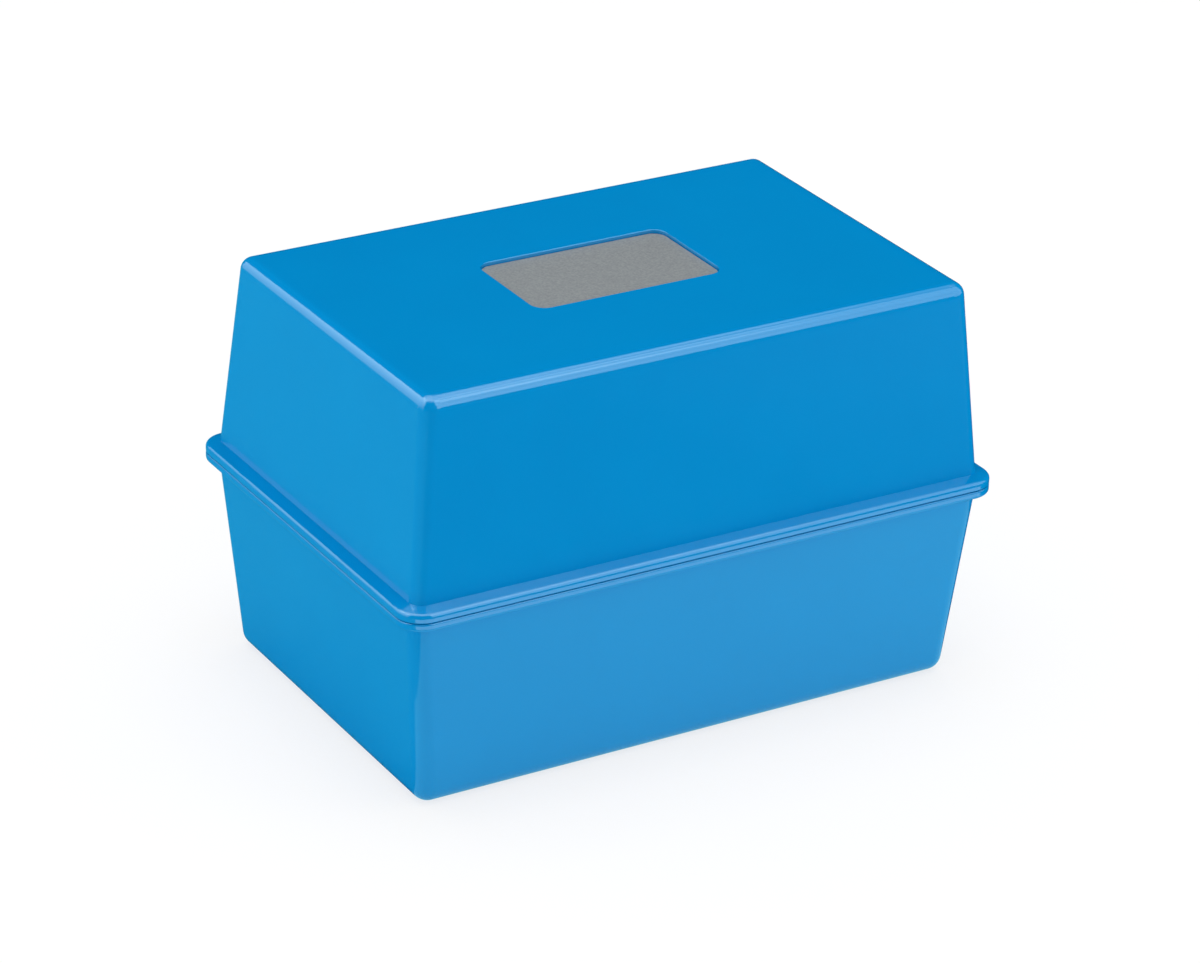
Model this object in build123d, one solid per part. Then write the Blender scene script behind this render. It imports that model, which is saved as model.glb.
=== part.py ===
from build123d import *
from math import cos, radians, tan
import os

# Index card box: two drafted plastic shells that meet at a flanged rim at mid height.
# Millimetres. X runs along the width, Y to the rear, Z up.
# The origin is the middle of the underside, which stands on the desk.

# Rim: the outline that both flanges share, and how far each flange stands out from its walls
rim_width = 153.0
rim_depth = 103.4
lid_overhang = 3.09
base_overhang = 2.75
shadow_gap = 0.2

# Both mouldings
wall = 1.8
draft_angle = 4.9
inner_radius_share = 0.5
cove_radius_share = 0.29

# Tray
base_height = 49.2
base_edge_radius = 4.0
base_flange_thickness = 2.0
base_flange_rounding_share = 0.42
base_parting_rounding_share = 0.2
floor_thickness = 2.0

# Lid
lid_height = 48.7
lid_edge_radius = 3.1
lid_flange_thickness = 1.86
lid_flange_rise = 0.9
lid_flange_rounding_share = 0.56
lid_parting_rounding_share = 0.12

# Locating lip that stands up from the tray's rim and carries the lid
lip_height = 1.3
lip_thickness = 1.0
lip_clearance = 0.3

# Label and its recess, just behind the middle of the lid's top
label_width = 47.9
label_depth = 28.0
label_setback = 0.95
label_corner_radius = 3.2
label_thickness = 0.25
label_clearance = 0.25
recess_depth = 1.1
recess_rounding_share = 0.25

# Rear hinge: two stations, each a lid knuckle between two tray knuckles on a steel pin
hinge_inset = 30.5
lid_knuckle_length = 8.0
base_knuckle_length = 6.0
knuckle_side_clearance = 0.3
knuckle_rim_clearance = 0.35
pin_radius = 1.0
pin_running_clearance = 0.06
pin_end_recess = 0.5
pin_chamfer = 0.25

# How far a cut runs past the face that it opens, and how closely an edge is picked by its height
overrun = 1.0
position_slack = 0.01

# Heights that follow from the sizes above
base_flange_z = base_height - base_flange_thickness
lid_rim_z = base_height + shadow_gap
lid_flange_z = lid_rim_z + lid_flange_thickness
top_z = lid_rim_z + lid_height
recess_z = top_z - recess_depth

# Walls at the rim, outside and inside
slope = tan(radians(draft_angle))
wall_across = wall / cos(radians(draft_angle))
base_width = rim_width - 2 * base_overhang
base_depth = rim_depth - 2 * base_overhang
lid_width = rim_width - 2 * lid_overhang
lid_depth = rim_depth - 2 * lid_overhang
base_inner_width = base_width - 2 * wall_across
base_inner_depth = base_depth - 2 * wall_across
base_inner_radius = base_edge_radius * inner_radius_share
lid_inner_width = lid_width - 2 * wall_across
lid_inner_depth = lid_depth - 2 * wall_across
lid_inner_radius = lid_edge_radius * inner_radius_share
rim_corner_radius = lid_edge_radius + lid_overhang

# The lid flange's top rises from the rim to inside the lid's walls
lid_flange_reach = lid_overhang + wall / 2

# Lip and the rebate in the lid that sits on it
lip_width = base_inner_width + 2 * lip_thickness
lip_depth = base_inner_depth + 2 * lip_thickness
lip_corner_radius = base_inner_radius + lip_thickness
rebate_depth = lip_height - shadow_gap

# Hinge barrels are as thick as the closed rim and stand just behind it
knuckle_radius = (lid_flange_z - base_flange_z) / 2
hinge_y = rim_depth / 2 + knuckle_rim_clearance + knuckle_radius
hinge_z = base_flange_z + knuckle_radius
hinge_length = lid_knuckle_length + 2 * (knuckle_side_clearance + base_knuckle_length)
base_knuckle_offset = (hinge_length - base_knuckle_length) / 2
hinge_reach = rim_width / 2 - hinge_inset
hinge_stations = {"left": -hinge_reach, "right": hinge_reach}


def drafted_block(width, depth, height, radius, mouth_z, direction, mouth_overrun=0.0):
    """A block that tapers away from its mouth, with its corner and end edges rounded.

    Width and depth are at mouth_z. Direction is 1 to build upwards and -1 downwards.
    The overrun carries the walls on past the mouth, still on their draft.
    """
    growth = 2 * slope * mouth_overrun
    outline = Rectangle(width + growth, depth + growth)
    start = Plane.XY.offset(mouth_z - mouth_overrun)
    block = extrude(start * outline, amount=height + mouth_overrun, taper=draft_angle)
    mouth = block.faces().sort_by(Axis.Z)[0]
    block = fillet(block.edges() - mouth.edges(), radius)
    return block if direction > 0 else mirror(block, about=Plane.XY.offset(mouth_z))


def level_plate(width, depth, corner_radius, bottom_z, thickness):
    """A flat plate with rounded corners, centred on the box."""
    outline = RectangleRounded(width, depth, corner_radius)
    return extrude(Plane.XY.offset(bottom_z) * outline, amount=thickness)


def base_flange():
    """The tray's flange, rounded well below and a little at the parting."""
    flange = level_plate(rim_width, rim_depth, rim_corner_radius, base_flange_z, base_flange_thickness)
    flange = fillet(flange.edges().group_by(Axis.Z)[0], base_flange_thickness * base_flange_rounding_share)
    return fillet(flange.edges().group_by(Axis.Z)[-1], base_flange_thickness * base_parting_rounding_share)


def lid_flange():
    """The lid's flange: an upright edge, well rounded above, and a top that rises to the walls."""
    edge = level_plate(rim_width, rim_depth, rim_corner_radius, lid_rim_z, lid_flange_thickness)
    rim_outline = RectangleRounded(rim_width, rim_depth, rim_corner_radius)
    inner_outline = RectangleRounded(
        rim_width - 2 * lid_flange_reach,
        rim_depth - 2 * lid_flange_reach,
        rim_corner_radius - lid_flange_reach,
    )
    lower = Plane.XY.offset(lid_flange_z) * rim_outline
    upper = Plane.XY.offset(lid_flange_z + lid_flange_rise) * inner_outline
    flange = edge + loft([lower, upper], ruled=True)
    brink = flange.edges().filter_by_position(Axis.Z, lid_flange_z - position_slack, lid_flange_z + position_slack)
    flange = fillet(brink, lid_flange_thickness * lid_flange_rounding_share)
    return fillet(flange.edges().group_by(Axis.Z)[0], lid_flange_thickness * lid_parting_rounding_share)


def cove(body, face_z, radius):
    """Round the inner corner where the walls meet the flange face at face_z."""
    flange_face = min(body.faces().filter_by(Plane.XY), key=lambda face: abs(face.center().Z - face_z))
    return fillet(flange_face.inner_wires()[0].edges(), radius)


def knuckle(center_x, length, arm_bottom_z, arm_thickness, bore_radius):
    """A hinge barrel on a tongue that grows out of the rear flange, bored along X."""
    end = Plane.YZ.offset(center_x - length / 2)
    axis_point = Pos(hinge_y, hinge_z)
    arm_start = rim_depth / 2 - arm_thickness
    arm_length = hinge_y - arm_start
    arm_middle = Pos(arm_start + arm_length / 2, arm_bottom_z + arm_thickness / 2)
    barrel = extrude(end * axis_point * Circle(knuckle_radius), amount=length)
    arm = extrude(end * arm_middle * Rectangle(arm_length, arm_thickness), amount=length)
    bore = extrude(end * axis_point * Circle(bore_radius), amount=length)
    return barrel + arm - bore


def make_base_tray():
    """The lower moulding: walls, floor, rim flange, locating lip and outer hinge knuckles."""
    tray = drafted_block(base_width, base_depth, base_height, base_edge_radius, base_height, -1)
    tray += base_flange()
    tray = cove(tray, base_flange_z, base_overhang * cove_radius_share)
    lip_rise = base_flange_thickness + lip_height
    tray += level_plate(lip_width, lip_depth, lip_corner_radius, base_flange_z, lip_rise)
    for station_x in hinge_stations.values():
        for side in (-1, 1):
            center_x = station_x + side * base_knuckle_offset
            tray += knuckle(center_x, base_knuckle_length, base_flange_z, base_flange_thickness, pin_radius)
    tray -= drafted_block(
        base_inner_width,
        base_inner_depth,
        base_height - floor_thickness,
        base_inner_radius,
        base_height,
        -1,
        lip_height + overrun,
    )
    return tray


def make_lid_shell():
    """The upper moulding: walls, top, rim flange, rebate, label recess and middle knuckles."""
    lid = drafted_block(lid_width, lid_depth, lid_height, lid_edge_radius, lid_rim_z, 1)
    lid += lid_flange()
    for station_x in hinge_stations.values():
        bore_radius = pin_radius + pin_running_clearance
        lid += knuckle(station_x, lid_knuckle_length, lid_rim_z, lid_flange_thickness, bore_radius)
    lid -= drafted_block(
        lid_inner_width,
        lid_inner_depth,
        lid_height - wall,
        lid_inner_radius,
        lid_rim_z,
        1,
        overrun,
    )
    lid -= level_plate(
        lip_width + 2 * lip_clearance,
        lip_depth + 2 * lip_clearance,
        lip_corner_radius + lip_clearance,
        lid_rim_z - overrun,
        overrun + rebate_depth,
    )
    return cut_label_recess(lid)


def cut_label_recess(lid):
    """Sink the label's recess into the lid's top and round the edge of its mouth."""
    lid -= Pos(0, label_setback) * level_plate(
        label_width + 2 * label_clearance,
        label_depth + 2 * label_clearance,
        label_corner_radius + label_clearance,
        recess_z,
        recess_depth + overrun,
    )
    top_face = lid.faces().sort_by(Axis.Z)[-1]
    mouth_rounding = (recess_depth - label_thickness) * recess_rounding_share
    return fillet(top_face.inner_wires()[0].edges(), mouth_rounding)


def make_label_plate():
    """The thin silver label that lies on the floor of the recess."""
    return Pos(0, label_setback) * level_plate(
        label_width, label_depth, label_corner_radius, recess_z, label_thickness
    )


def make_hinge_pin(station_x):
    """A straight steel pin with chamfered ends, pressed into the tray's two knuckles."""
    length = hinge_length - 2 * pin_end_recess
    end = Plane.YZ.offset(station_x - length / 2)
    pin = extrude(end * Pos(hinge_y, hinge_z) * Circle(pin_radius), amount=length)
    return chamfer(pin.edges().filter_by(GeomType.CIRCLE), pin_chamfer)


def main():
    """Build every piece and write one STEP file for each."""
    pieces = {
        "base_tray": make_base_tray(),
        "lid_shell": make_lid_shell(),
        "label_plate": make_label_plate(),
    }
    for side, station_x in hinge_stations.items():
        pieces[f"hinge_pin_{side}"] = make_hinge_pin(station_x)
    os.makedirs("parts", exist_ok=True)
    for name, piece in pieces.items():
        export_step(piece, f"parts/{name}.step")


main()
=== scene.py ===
"""Looks, light and camera for the index card box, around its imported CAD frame."""

import logging
import math
from dataclasses import dataclass, field
from enum import Enum

import bpy
from mathutils import Matrix, Vector

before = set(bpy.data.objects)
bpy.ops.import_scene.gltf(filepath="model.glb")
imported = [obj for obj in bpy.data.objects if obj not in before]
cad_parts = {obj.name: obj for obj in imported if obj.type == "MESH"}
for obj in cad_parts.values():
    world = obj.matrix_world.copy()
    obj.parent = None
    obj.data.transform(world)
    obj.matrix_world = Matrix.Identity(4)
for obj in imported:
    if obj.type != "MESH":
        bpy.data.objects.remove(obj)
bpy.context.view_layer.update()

LOG = logging.getLogger("index_card_box")
MM = 0.001
PHOTO_WIDTH = 1200
WHITE = "#FFFFFF"
COOL_WHITE = "#ECFFFF"
CYAN_WHITE = "#B4FFFF"
LEVEL_NORMAL = 0.5  # A face whose normal leans further than this along Z is level.

# Sockets of the Mix node, which has one set for numbers and one for colours.
FACTOR, NUMBER_A, NUMBER_B, COLOUR_A, COLOUR_B = 0, 2, 3, 6, 7
NUMBER_RESULT, COLOUR_RESULT = 0, 2

Settings = dict[str | int, object]
Links = dict[str | int, bpy.types.NodeSocket]


def linear(hex_colour: str) -> tuple[float, float, float, float]:
    """Turn an sRGB hex colour into linear RGBA.

    Args:
        hex_colour: Colour as "#RRGGBB".

    Returns:
        The four linear channels, with alpha 1.
    """
    channels = (int(hex_colour[i:i + 2], 16) / 255 for i in (1, 3, 5))
    red, green, blue = (c / 12.92 if c <= 0.04045 else ((c + 0.055) / 1.055) ** 2.4 for c in channels)
    return red, green, blue, 1.0


def add_node(
    tree: bpy.types.NodeTree, kind: str, settings: Settings | None = None, links: Links | None = None
) -> bpy.types.Node:
    """Add one shader node with its settings and links.

    Args:
        tree: Node tree that the node goes into.
        kind: Blender's name for the kind of node.
        settings: Values by attribute name, or by the name or number of an input.
        links: Sockets that feed the node, by the name or number of its input.

    Returns:
        The new node.
    """
    node = tree.nodes.new(kind)
    for key, value in (settings or {}).items():
        if isinstance(key, str) and hasattr(node, key):
            setattr(node, key, value)
        else:
            node.inputs[key].default_value = value
    for key, source in (links or {}).items():
        tree.links.new(source, node.inputs[key])
    return node


def per_metre(size_mm: float) -> float:
    """Texture scale whose pattern repeats about every size_mm on Object coordinates."""
    return 1.0 / (size_mm * MM)


@dataclass(frozen=True)
class Finish:
    """A real material and the way its surface was made.

    Attributes:
        name: Name of the Blender material.
    """

    name: str

    def material(self) -> bpy.types.Material:
        """Make the material.

        Returns:
            The material, with its shader painted.
        """
        material = bpy.data.materials.new(self.name)
        material.use_nodes = True
        tree = material.node_tree
        tree.nodes.clear()
        shader = add_node(tree, "ShaderNodeBsdfPrincipled")
        self.paint(tree, shader)
        add_node(tree, "ShaderNodeOutputMaterial", links={"Surface": self.surface(tree, shader)})
        return material

    def paint(self, tree: bpy.types.NodeTree, shader: bpy.types.Node) -> None:
        """Give the shader its colour, gloss and relief; each finish has its own."""
        raise NotImplementedError

    def surface(self, tree: bpy.types.NodeTree, shader: bpy.types.Node) -> bpy.types.NodeSocket:
        """The socket that feeds the material's surface, plainly the shader itself."""
        return shader.outputs["BSDF"]


@dataclass(frozen=True)
class MouldedPolystyrene(Finish):
    """Polystyrene, injection moulded in a polished steel cavity and coloured in the mass.

    It looks clean and even, with a soft gloss on every rounding, a barely visible ripple
    of the melt in the flat walls, and faint tool lines along the lid's long top roundings.

    Attributes:
        colour: Main colour.
        colour_flow: Colour where the pigment flowed thicker.
        flow_mm: Size of the pigment's flow marks.
        flow_detail: Octaves of the flow marks.
        roughness_low: Roughness in the hollows of the ripple.
        roughness_high: Roughness on the crests of the ripple.
        ior: Index of refraction of polystyrene.
        ripple_mm: Size of the melt's ripple.
        ripple_detail: Octaves of the ripple.
        ripple_depth_mm: Depth of the ripple.
        tool_line_mm: Spacing of the tool lines.
        tool_line_depth_mm: Depth of the tool lines.
        tool_line_inner_mm: Distance from the middle along Y where the tool lines start.
        tool_line_end_mm: Distance from the middle along X where they end.
        tool_line_foot_mm: Height where they start.
        tool_line_fade_mm: Width over which they fade.
    """

    name: str = "polystyrene_injection_moulded"
    colour: str = "#008CCE"
    colour_flow: str = "#0087C9"
    flow_mm: float = 22.0
    flow_detail: float = 3.0
    roughness_low: float = 0.06
    roughness_high: float = 0.10
    ior: float = 1.59
    ripple_mm: float = 2.6
    ripple_detail: float = 2.0
    ripple_depth_mm: float = 0.002
    tool_line_mm: float = 0.95
    tool_line_depth_mm: float = 0.026
    tool_line_inner_mm: float = 41.6
    tool_line_end_mm: float = 65.5
    tool_line_foot_mm: float = 95.1
    tool_line_fade_mm: float = 0.5

    def paint(self, tree: bpy.types.NodeTree, shader: bpy.types.Node) -> None:
        """Paint the flow of the pigment, the gloss, the ripple of the melt and the tool lines."""
        place = add_node(tree, "ShaderNodeTexCoord").outputs["Object"]
        flow = add_node(
            tree,
            "ShaderNodeTexNoise",
            {"Scale": per_metre(self.flow_mm), "Detail": self.flow_detail},
            {"Vector": place},
        )
        tint = add_node(
            tree,
            "ShaderNodeMix",
            {"data_type": "RGBA", COLOUR_A: linear(self.colour), COLOUR_B: linear(self.colour_flow)},
            {FACTOR: flow.outputs["Fac"]},
        )
        ripple = add_node(
            tree,
            "ShaderNodeTexNoise",
            {"Scale": per_metre(self.ripple_mm), "Detail": self.ripple_detail},
            {"Vector": place},
        )
        gloss = add_node(
            tree,
            "ShaderNodeMapRange",
            {"To Min": self.roughness_low, "To Max": self.roughness_high},
            {"Value": ripple.outputs["Fac"]},
        )
        relief = add_node(
            tree,
            "ShaderNodeBump",
            {"Strength": 1.0, "Distance": self.ripple_depth_mm * MM},
            {"Height": ripple.outputs["Fac"]},
        )
        tooled = add_node(
            tree,
            "ShaderNodeBump",
            {"Strength": 1.0, "Distance": self.tool_line_depth_mm * MM},
            {"Height": self.tool_lines(tree, place), "Normal": relief.outputs["Normal"]},
        )
        shader.inputs["IOR"].default_value = self.ior
        tree.links.new(tint.outputs[COLOUR_RESULT], shader.inputs["Base Color"])
        tree.links.new(gloss.outputs["Result"], shader.inputs["Roughness"])
        tree.links.new(tooled.outputs["Normal"], shader.inputs["Normal"])

    def tool_lines(self, tree: bpy.types.NodeTree, place: bpy.types.NodeSocket) -> bpy.types.NodeSocket:
        """Cutter lines along X on the lid's front and rear top roundings.

        The real lines are finer and a few microns deep; they are drawn coarser and deeper so that they show.

        Args:
            tree: Node tree of the material.
            place: Object coordinates.

        Returns:
            Height of the lines, from -1 to 1 on the roundings and 0 elsewhere.
        """
        axes = add_node(tree, "ShaderNodeSeparateXYZ", links={"Vector": place}).outputs
        away_x, away_y = (
            add_node(tree, "ShaderNodeMath", {"operation": "ABSOLUTE"}, {0: axes[name]}).outputs[0]
            for name in ("X", "Y")
        )
        across = add_node(tree, "ShaderNodeMath", {"operation": "SUBTRACT"}, {0: axes["Z"], 1: away_y})
        turns = add_node(
            tree,
            "ShaderNodeMath",
            {"operation": "MULTIPLY", 1: math.tau / math.sqrt(2.0) * per_metre(self.tool_line_mm)},
            {0: across.outputs[0]},
        )
        height = add_node(tree, "ShaderNodeMath", {"operation": "SINE"}, {0: turns.outputs[0]}).outputs[0]
        fade = self.tool_line_fade_mm
        for source, start, end in (
            (away_y, self.tool_line_inner_mm, self.tool_line_inner_mm + fade),
            (axes["Z"], self.tool_line_foot_mm, self.tool_line_foot_mm + fade),
            (away_x, self.tool_line_end_mm, self.tool_line_end_mm - fade),
        ):
            mask = add_node(
                tree, "ShaderNodeMapRange", {"From Min": start * MM, "From Max": end * MM}, {"Value": source}
            )
            height = add_node(
                tree, "ShaderNodeMath", {"operation": "MULTIPLY"}, {0: height, 1: mask.outputs["Result"]}
            ).outputs[0]
        return height


@dataclass(frozen=True)
class SatinFoil(Finish):
    """Aluminium foil, rolled and etched to a satin face.

    It looks neutral grey, takes a broad soft sheen and has a very fine even grain.

    Attributes:
        colour: Colour of the crests of the grain.
        colour_grain: Colour of its hollows.
        grain_mm: Size of the grain as drawn.
        grain_detail: Octaves of the grain.
        roughness_low: Lowest roughness.
        roughness_high: Highest roughness.
        metallic: Share of the face that answers as bare metal.
        grain_depth_mm: Depth of the grain.
    """

    name: str = "aluminium_foil_satin"
    colour: str = "#A1A5A6"
    colour_grain: str = "#6D7075"
    grain_mm: float = 0.5
    grain_detail: float = 4.0
    roughness_low: float = 0.42
    roughness_high: float = 0.50
    metallic: float = 0.20
    grain_depth_mm: float = 0.003

    def paint(self, tree: bpy.types.NodeTree, shader: bpy.types.Node) -> None:
        """Paint the etched grain and its sheen."""
        place = add_node(tree, "ShaderNodeTexCoord").outputs["Object"]
        # The real etch is finer than a pixel; it is drawn at half a millimetre so that it shows.
        grain = add_node(
            tree,
            "ShaderNodeTexNoise",
            {"Scale": per_metre(self.grain_mm), "Detail": self.grain_detail},
            {"Vector": place},
        )
        tint = add_node(
            tree,
            "ShaderNodeMix",
            {"data_type": "RGBA", COLOUR_A: linear(self.colour), COLOUR_B: linear(self.colour_grain)},
            {FACTOR: grain.outputs["Fac"]},
        )
        gloss = add_node(
            tree,
            "ShaderNodeMapRange",
            {"To Min": self.roughness_low, "To Max": self.roughness_high},
            {"Value": grain.outputs["Fac"]},
        )
        relief = add_node(
            tree,
            "ShaderNodeBump",
            {"Strength": 1.0, "Distance": self.grain_depth_mm * MM},
            {"Height": grain.outputs["Fac"]},
        )
        shader.inputs["Metallic"].default_value = self.metallic
        tree.links.new(tint.outputs[COLOUR_RESULT], shader.inputs["Base Color"])
        tree.links.new(gloss.outputs["Result"], shader.inputs["Roughness"])
        tree.links.new(relief.outputs["Normal"], shader.inputs["Normal"])


@dataclass(frozen=True)
class DrawnSteelWire(Finish):
    """Bright steel wire, drawn through a die and cut to length.

    It looks cool grey, with fine lines that run along the pin.

    Attributes:
        colour: Main colour.
        colour_line: Colour of the drawing lines.
        line_width_mm: Width of the lines.
        line_length_mm: Length of the lines.
        line_detail: Octaves of the lines.
        roughness_low: Lowest roughness.
        roughness_high: Highest roughness.
    """

    name: str = "steel_wire_drawn"
    colour: str = "#C3C5C8"
    colour_line: str = "#9FA2A6"
    line_width_mm: float = 0.15
    line_length_mm: float = 6.0
    line_detail: float = 2.0
    roughness_low: float = 0.24
    roughness_high: float = 0.40

    def paint(self, tree: bpy.types.NodeTree, shader: bpy.types.Node) -> None:
        """Paint the drawing lines along X, the pin's own direction."""
        place = add_node(tree, "ShaderNodeTexCoord").outputs["Object"]
        along, across = per_metre(self.line_length_mm), per_metre(self.line_width_mm)
        stretched = add_node(
            tree, "ShaderNodeMapping", {"Scale": (along, across, across)}, {"Vector": place}
        )
        lines = add_node(
            tree,
            "ShaderNodeTexNoise",
            {"Scale": 1.0, "Detail": self.line_detail},
            {"Vector": stretched.outputs["Vector"]},
        )
        tint = add_node(
            tree,
            "ShaderNodeMix",
            {"data_type": "RGBA", COLOUR_A: linear(self.colour), COLOUR_B: linear(self.colour_line)},
            {FACTOR: lines.outputs["Fac"]},
        )
        gloss = add_node(
            tree,
            "ShaderNodeMapRange",
            {"To Min": self.roughness_low, "To Max": self.roughness_high},
            {"Value": lines.outputs["Fac"]},
        )
        shader.inputs["Metallic"].default_value = 1.0
        tree.links.new(tint.outputs[COLOUR_RESULT], shader.inputs["Base Color"])
        tree.links.new(gloss.outputs["Result"], shader.inputs["Roughness"])


PLASTIC, FOIL, STEEL = MouldedPolystyrene(), SatinFoil(), DrawnSteelWire()


@dataclass
class Assembly:
    """Pieces of the box that move together.

    Attributes:
        body: Name of the body that they ride on.
        finishes: Finish of each CAD node, by the node's name.
    """

    body: str
    finishes: dict[str, Finish]

    def dress(self, materials: dict[Finish, bpy.types.Material]) -> None:
        """Give each CAD node its material.

        Args:
            materials: Material of each finish.
        """
        for name, finish in self.finishes.items():
            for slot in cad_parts[name].material_slots:
                slot.material = materials[finish]
            LOG.info("%s rides on %s, dressed in %s", name, self.body, finish.name)


@dataclass
class Tray(Assembly):
    """The lower moulding, with the hinge pins that are pressed into it."""

    body: str = "base"
    finishes: dict[str, Finish] = field(
        default_factory=lambda: {"base_tray": PLASTIC, "hinge_pin_left": STEEL, "hinge_pin_right": STEEL}
    )


@dataclass
class Lid(Assembly):
    """The upper moulding, with the label in its recess."""

    body: str = "lid"
    finishes: dict[str, Finish] = field(default_factory=lambda: {"lid_shell": PLASTIC, "label_plate": FOIL})


class SeenIn(Enum):
    """Which rays meet a stage object or a lamp."""

    GLOSS = "gloss"
    ALL_BUT_GLOSS = "all_but_gloss"

    def apply(self, thing: bpy.types.Object) -> None:
        """Set the ray visibility of a stage object or a lamp."""
        plain = self is SeenIn.ALL_BUT_GLOSS
        thing.visible_camera = plain and thing.type != "LIGHT"
        thing.visible_diffuse = plain
        thing.visible_shadow = plain
        thing.visible_glossy = not plain


@dataclass(frozen=True)
class Paper(Finish):
    """Matte paper or cloth of the set, a dull sheet whose colour may grade from one side to the other; on the
    dark room's floor the grade is a painted falloff of light.

    Attributes:
        colour: Colour on the near side.
        colour_far: Colour on the far side.
        far_from: Where the change starts, in metres along the direction.
        far_to: Where the change ends.
        along: Direction from the near side to the far side.
    """

    colour: str = WHITE
    colour_far: str = WHITE
    far_from: float = 0.0
    far_to: float = 1.0
    along: tuple[float, float, float] = (1.0, 0.0, 0.0)

    def paint(self, tree: bpy.types.NodeTree, shader: bpy.types.Node) -> None:
        """Paint a dull sheet, from its colour to its far colour along one direction."""
        place = add_node(tree, "ShaderNodeTexCoord").outputs["Object"]
        # On the dark room's floor this grade is painted light: the colour falls off along one direction to
        # stand in for the mirrored floor light fading.
        along = add_node(
            tree, "ShaderNodeVectorMath", {"operation": "DOT_PRODUCT", 1: self.along}, {0: place}
        )
        share = add_node(
            tree,
            "ShaderNodeMapRange",
            {"From Min": self.far_from, "From Max": self.far_to},
            {"Value": along.outputs["Value"]},
        )
        tint = add_node(
            tree,
            "ShaderNodeMix",
            {"data_type": "RGBA", COLOUR_A: linear(self.colour), COLOUR_B: linear(self.colour_far)},
            {FACTOR: share.outputs["Result"]},
        )
        shader.inputs["Roughness"].default_value = 1.0
        shader.inputs["Specular IOR Level"].default_value = 0.0
        tree.links.new(tint.outputs[COLOUR_RESULT], shader.inputs["Base Color"])


@dataclass(frozen=True)
class FloorPaper(Paper):
    """White seamless paper that looks nearly white to the camera, with a light shadow on it.

    Attributes:
        whiteness: Share of plain white that the camera sees.
        contact_mm: Gap below which the floor lets the light from below through.
    """

    whiteness: float = 0.75
    contact_mm: float = 1.0

    def surface(self, tree: bpy.types.NodeTree, shader: bpy.types.Node) -> bpy.types.NodeSocket:
        """Show the camera part paper and part plain white, and let light from below reach the underside.

        Args:
            tree: Node tree of the material.
            shader: The paper's own shader.

        Returns:
            The socket for the material's surface.
        """
        rays = add_node(tree, "ShaderNodeLightPath").outputs
        share = add_node(
            tree, "ShaderNodeMath", {"operation": "MULTIPLY", 1: self.whiteness}, {0: rays["Is Camera Ray"]}
        )
        white = add_node(tree, "ShaderNodeEmission", {"Color": linear(WHITE), "Strength": 1.0})
        above = add_node(
            tree,
            "ShaderNodeMixShader",
            links={0: share.outputs[0], 1: shader.outputs["BSDF"], 2: white.outputs["Emission"]},
        )
        clear = add_node(tree, "ShaderNodeBsdfTransparent")
        below = add_node(tree, "ShaderNodeNewGeometry").outputs["Backfacing"]
        touching = add_node(
            tree, "ShaderNodeMath", {"operation": "LESS_THAN", 1: self.contact_mm * MM}, {0: rays["Ray Length"]}
        )
        open_to = add_node(
            tree, "ShaderNodeMath", {"operation": "MAXIMUM"}, {0: below, 1: touching.outputs[0]}
        )
        both = add_node(
            tree,
            "ShaderNodeMixShader",
            links={0: open_to.outputs[0], 1: above.outputs[0], 2: clear.outputs["BSDF"]},
        )
        return both.outputs[0]


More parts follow.
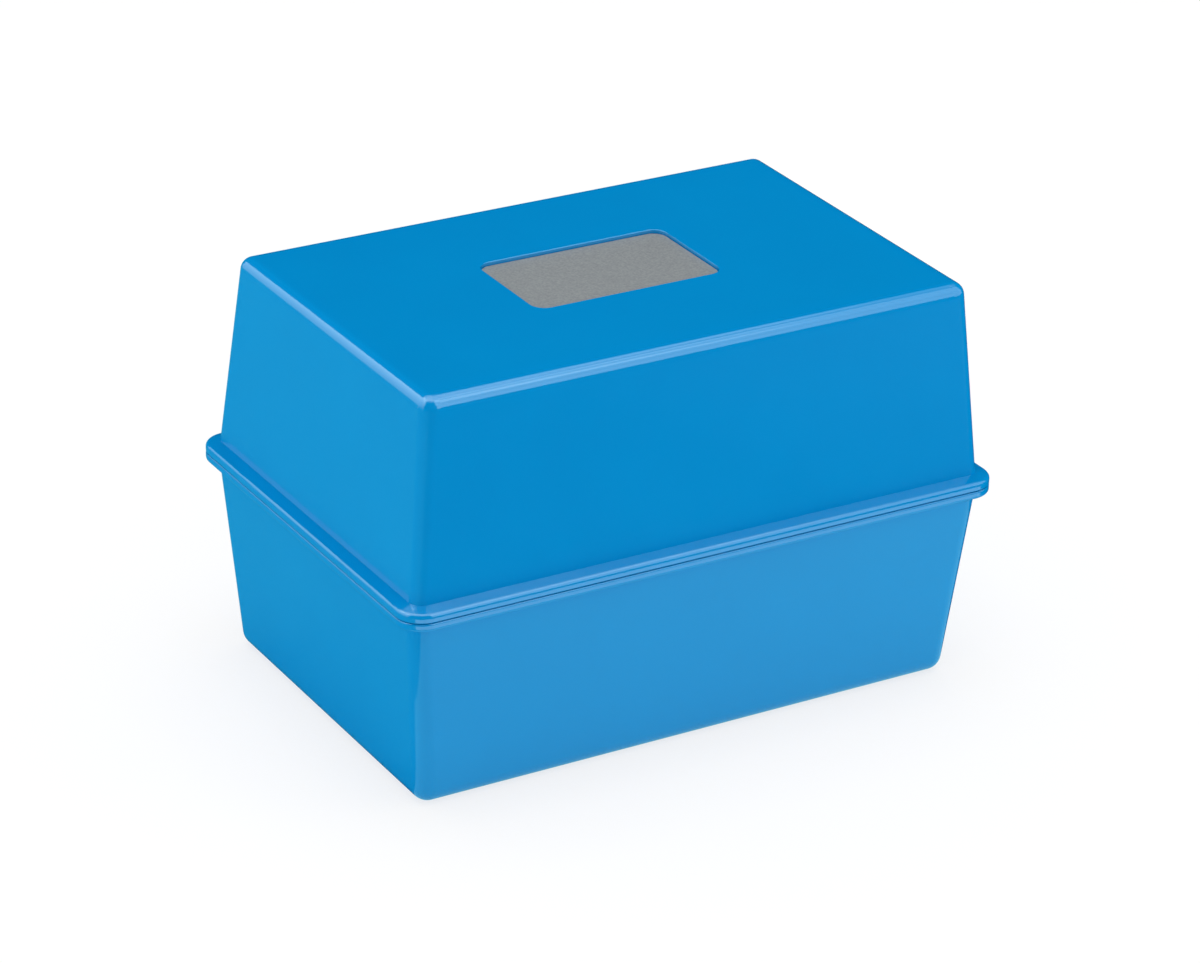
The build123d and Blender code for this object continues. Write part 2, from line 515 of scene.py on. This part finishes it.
@dataclass(frozen=True)
class Softbox:
    """A large rectangle of soft light.

    Attributes:
        name: Name of the lamp.
        middle: Where its middle hangs, in metres.
        tilt_deg: Angle from lying level, shining down (0), over standing upright (90) to shining up (180).
        turn_deg: Direction that its lower side looks away from, from the front (0) round to the right (90).
        width: Width in metres.
        height: Height in metres.
        glow: Brightness at the corners (left and right below, left and right above), where 1 is white.
        seen_in: Rays that meet it.
        tint: Colour of its light.
    """

    name: str
    middle: Vector
    tilt_deg: float
    turn_deg: float
    width: float
    height: float
    glow: tuple[float, float, float, float]
    seen_in: SeenIn
    tint: str = WHITE

    @classmethod
    def wall(
        cls, name: str, facing_deg: float, span_deg: tuple[float, float], heights: tuple[float, float],
        distance: float, glow: tuple[float, float, float, float], seen_in: SeenIn, tint: str = WHITE,
    ) -> "Softbox":
        """An upright softbox.

        Args:
            name: Name of the lamp.
            facing_deg: Direction from the box to the light, from the front (0) round to the right (90).
            span_deg: Directions of its upright edges.
            heights: Heights of its level edges in metres.
            distance: Distance of its plane from the box in metres.
            glow: Brightness at the corners.
            seen_in: Rays that meet it.
            tint: Colour of its light.

        Returns:
            The softbox.
        """
        facing = math.radians(facing_deg)
        outward = Vector((math.sin(facing), -math.cos(facing), 0.0))
        sideways = Vector((math.cos(facing), math.sin(facing), 0.0))
        ends = [distance * math.tan(math.radians(edge - facing_deg)) for edge in span_deg]
        middle = outward * distance + sideways * (sum(ends) / 2)
        middle.z = sum(heights) / 2
        width, height = ends[1] - ends[0], heights[1] - heights[0]
        return cls(name, middle, 90.0, facing_deg, width, height, glow, seen_in, tint)

    def build(self) -> None:
        """Hang the light."""
        bpy.ops.object.select_all(action="DESELECT")
        bpy.ops.object.light_add(
            type="AREA",
            location=self.middle,
            rotation=(math.radians(self.tilt_deg), 0.0, math.radians(self.turn_deg)),
        )
        lamp = bpy.context.object
        lamp.name = self.name
        lamp.data.shape = "RECTANGLE"
        lamp.data.size, lamp.data.size_y = self.width, self.height
        lamp.data.energy = math.pi * self.width * self.height
        lamp.data.use_nodes = True
        tree = lamp.data.node_tree
        tree.nodes.clear()
        spot = add_node(tree, "ShaderNodeNewGeometry").outputs["Parametric"]
        across = add_node(tree, "ShaderNodeSeparateXYZ", links={"Vector": spot}).outputs
        left_below, right_below, left_above, right_above = self.glow
        below, above = (
            add_node(
                tree, "ShaderNodeMix", {NUMBER_A: left, NUMBER_B: right}, {FACTOR: across["X"]}
            ).outputs[NUMBER_RESULT]
            for left, right in ((left_below, right_below), (left_above, right_above))
        )
        strength = add_node(
            tree, "ShaderNodeMix", links={FACTOR: across["Y"], NUMBER_A: below, NUMBER_B: above}
        )
        shine = add_node(
            tree,
            "ShaderNodeEmission",
            {"Color": linear(self.tint)},
            {"Strength": strength.outputs[NUMBER_RESULT]},
        )
        add_node(tree, "ShaderNodeOutputLight", links={"Surface": shine.outputs["Emission"]})
        self.seen_in.apply(lamp)


@dataclass
class Studio:
    """White floor, white surroundings, a dark room in the gloss, and softboxes.

    Attributes:
        level: Brightness of the surroundings that light the box, where 1 is white.
        floor_size: Side of the white floor in metres.
        room_radius: Radius of the dark room in metres.
        room_height: Height of the dark room's wall in metres.
        room_sides: Number of the dark room's wall panels.
        floor_paper: Finish of the floor.
        painted_falloff_floor: Finish of the dark room's floor, painted dark on the camera's side and teal
            further off as a painted falloff of the light that the gloss mirrors.
        curtain_cloth: Finish of the dark room's wall.
        lights: Softboxes and cards that show in the gloss, and lamps that give the plain light.
    """

    level: float = 0.78
    floor_size: float = 8.0
    room_radius: float = 3.0
    room_height: float = 5.0
    room_sides: int = 64
    floor_paper: FloorPaper = FloorPaper("paper_floor_white", "#FDFDFD", "#FDFDFD")
    # Painted falloff of light: the room's floor, seen only in the gloss, is painted dark on the camera's side
    # and lighter teal further off.
    painted_falloff_floor: Paper = Paper(
        "room_floor_painted_light_falloff", "#0C0C0C", "#46A6A6",
        far_from=0.017, far_to=0.047, along=(-0.777, 0.629, 0.0),
    )
    curtain_cloth: Paper = Paper("cloth_curtain_black", "#060606", "#060606")
    lights: list[Softbox] = field(
        default_factory=lambda: [
            Softbox.wall(
                "softbox_front_right",
                facing_deg=50.0, span_deg=(4.8, 74.3), heights=(0.10, 0.563), distance=0.261,
                glow=(2.4, 1.6, 3.4, 2.1), seen_in=SeenIn.GLOSS, tint=COOL_WHITE,
            ),
            Softbox.wall(
                "softbox_left",
                facing_deg=-124.0, span_deg=(-151.7, -76.9), heights=(0.081, 0.563), distance=0.345,
                glow=(1.15, 0.5, 5.0, 4.8), seen_in=SeenIn.GLOSS, tint=COOL_WHITE,
            ),
            Softbox(
                "softbox_overhead",
                middle=Vector((0.017, 0.070, 0.563)), tilt_deg=0.0, turn_deg=-31.1, width=0.769, height=0.59,
                glow=(3.7, 2.0, 1.3, 0.3), seen_in=SeenIn.GLOSS, tint=COOL_WHITE,
            ),
            Softbox(
                "card_near",
                middle=Vector((0.018, -0.073, 0.0005)), tilt_deg=180.0, turn_deg=0.0, width=0.244, height=0.066,
                glow=(0.72, 0.92, 0.88, 1.06), seen_in=SeenIn.GLOSS, tint=CYAN_WHITE,
            ),
            Softbox(
                "card_far",
                middle=Vector((0.015, -0.137, 0.0005)), tilt_deg=180.0, turn_deg=0.0, width=0.35, height=0.048,
                glow=(2.0, 2.0, 1.6, 1.75), seen_in=SeenIn.GLOSS, tint=COOL_WHITE,
            ),
            Softbox(
                "card_right",
                middle=Vector((0.23, -0.26, 0.0005)), tilt_deg=180.0, turn_deg=0.0, width=0.22, height=0.18,
                glow=(0.0, 0.15, 0.0, 0.15), seen_in=SeenIn.GLOSS, tint=COOL_WHITE,
            ),
            Softbox.wall(
                "key_light",
                facing_deg=55.0, span_deg=(42.0, 68.0), heights=(0.0, 0.25), distance=1.2,
                glow=(7.4,) * 4, seen_in=SeenIn.ALL_BUT_GLOSS,
            ),
            Softbox.wall(
                "side_light",
                facing_deg=-140.0, span_deg=(-155.0, -121.0), heights=(0.0, 0.25), distance=1.2,
                glow=(1.9,) * 4, seen_in=SeenIn.ALL_BUT_GLOSS,
            ),
            Softbox.wall(
                "left_light",
                facing_deg=-100.0, span_deg=(-115.0, -85.0), heights=(0.0, 0.25), distance=1.2,
                glow=(4.0,) * 4, seen_in=SeenIn.ALL_BUT_GLOSS,
            ),
            Softbox(
                "top_light",
                middle=Vector((0.0, 0.0, 1.2)), tilt_deg=0.0, turn_deg=0.0, width=0.8, height=0.8,
                glow=(2.43,) * 4, seen_in=SeenIn.ALL_BUT_GLOSS,
            ),
        ]
    )

    def build(self) -> None:
        """Set up the surroundings, the floor, the dark room and the lights."""
        self.light_surroundings()
        self.lay_floor()
        self.hang_room()
        for light in self.lights:
            light.build()
            LOG.info("%s lights the set", light.name)

    def light_surroundings(self) -> None:
        """Make the surroundings light the box evenly and show as plain white."""
        world = bpy.data.worlds.new("surroundings_white")
        world.use_nodes = True
        tree = world.node_tree
        tree.nodes.clear()
        rays = add_node(tree, "ShaderNodeLightPath").outputs
        seen = rays["Is Camera Ray"]
        for name in ("Is Glossy Ray", "Is Transmission Ray"):
            seen = add_node(
                tree, "ShaderNodeMath", {"operation": "MAXIMUM"}, {0: seen, 1: rays[name]}
            ).outputs[0]
        strength = add_node(tree, "ShaderNodeMix", {NUMBER_A: self.level, NUMBER_B: 1.0}, {FACTOR: seen})
        sky = add_node(
            tree,
            "ShaderNodeBackground",
            {"Color": linear(WHITE)},
            {"Strength": strength.outputs[NUMBER_RESULT]},
        )
        add_node(tree, "ShaderNodeOutputWorld", links={"Surface": sky.outputs["Background"]})
        world.cycles.sampling_method = "NONE"
        bpy.context.scene.world = world

    def stage(self, name: str, seen_in: SeenIn, *papers: Paper) -> None:
        """Name the active object, give it its materials and set which rays meet it.

        Args:
            name: Name of the object.
            seen_in: Rays that meet it.
            papers: Finishes of its material slots.
        """
        thing = bpy.context.object
        thing.name = name
        for paper in papers:
            thing.data.materials.append(paper.material())
        seen_in.apply(thing)
        LOG.info("%s is part of the stage", name)

    def lay_floor(self) -> None:
        """Lay the white floor that the camera sees and the shadow falls on."""
        bpy.ops.object.select_all(action="DESELECT")
        bpy.ops.mesh.primitive_plane_add(size=self.floor_size)
        self.stage("floor", SeenIn.ALL_BUT_GLOSS, self.floor_paper)
        bpy.context.object.active_material.cycles.emission_sampling = "NONE"

    def hang_room(self) -> None:
        """Put up the dark room, open at the top, that the gloss mirrors."""
        bpy.ops.object.select_all(action="DESELECT")
        bpy.ops.mesh.primitive_cylinder_add(
            vertices=self.room_sides,
            radius=self.room_radius,
            depth=self.room_height,
            location=(0.0, 0.0, self.room_height / 2 - MM),
            end_fill_type="NGON",
        )
        room = bpy.context.object
        room.data.transform(room.matrix_world)
        room.matrix_world = Matrix.Identity(4)
        bpy.ops.object.mode_set(mode="EDIT")
        bpy.ops.mesh.select_all(action="DESELECT")
        bpy.ops.object.mode_set(mode="OBJECT")
        for face in room.data.polygons:
            face.select = face.normal.z > LEVEL_NORMAL
        bpy.ops.object.mode_set(mode="EDIT")
        bpy.ops.mesh.delete(type="FACE")
        bpy.ops.object.mode_set(mode="OBJECT")
        self.stage("room", SeenIn.GLOSS, self.curtain_cloth, self.painted_falloff_floor)
        for face in room.data.polygons:
            face.material_index = int(face.normal.z < -LEVEL_NORMAL)


@dataclass(frozen=True)
class PhotoCamera:
    """The photograph's camera.

    Attributes:
        azimuth_deg: Direction from the box to the camera, from the front round to the right.
        elevation_deg: Angle above the horizon.
        roll_deg: Turn about the line of sight.
        distance: Distance from the point aimed at, in metres.
        aim_mm: Point aimed at.
        focal_px: Focal length in pixels of the photograph.
        sensor_mm: Width of the sensor.
    """

    azimuth_deg: float = -31.131
    elevation_deg: float = 25.627
    roll_deg: float = 1.670
    distance: float = 1.01984
    aim_mm: tuple[float, float, float] = (0.766, -0.462, 45.24)
    focal_px: float = 4438.78
    sensor_mm: float = 36.0

    def build(self) -> None:
        """Set up the camera."""
        bpy.ops.object.select_all(action="DESELECT")
        bpy.ops.object.camera_add()
        camera = bpy.context.object
        camera.name = "photo_camera"
        turn = (
            Matrix.Rotation(math.radians(self.azimuth_deg), 4, "Z")
            @ Matrix.Rotation(math.radians(90.0 - self.elevation_deg), 4, "X")
            @ Matrix.Rotation(math.radians(self.roll_deg), 4, "Z")
        )
        camera.matrix_world = (
            Matrix.Translation(Vector(self.aim_mm) * MM)
            @ turn
            @ Matrix.Translation((0.0, 0.0, self.distance))
        )
        camera.data.sensor_width = self.sensor_mm
        camera.data.sensor_fit = "HORIZONTAL"
        camera.data.lens = self.focal_px / PHOTO_WIDTH * self.sensor_mm
        bpy.context.scene.camera = camera


def main() -> None:
    """Dress the box, set up the studio and the camera."""
    materials = {finish: finish.material() for finish in (PLASTIC, FOIL, STEEL)}
    for assembly in (Tray(), Lid()):
        assembly.dress(materials)
    Studio().build()
    PhotoCamera().build()
    bpy.context.scene.view_settings.view_transform = "Standard"


if __name__ == "__main__":
    logging.basicConfig(level=logging.INFO)
    main()
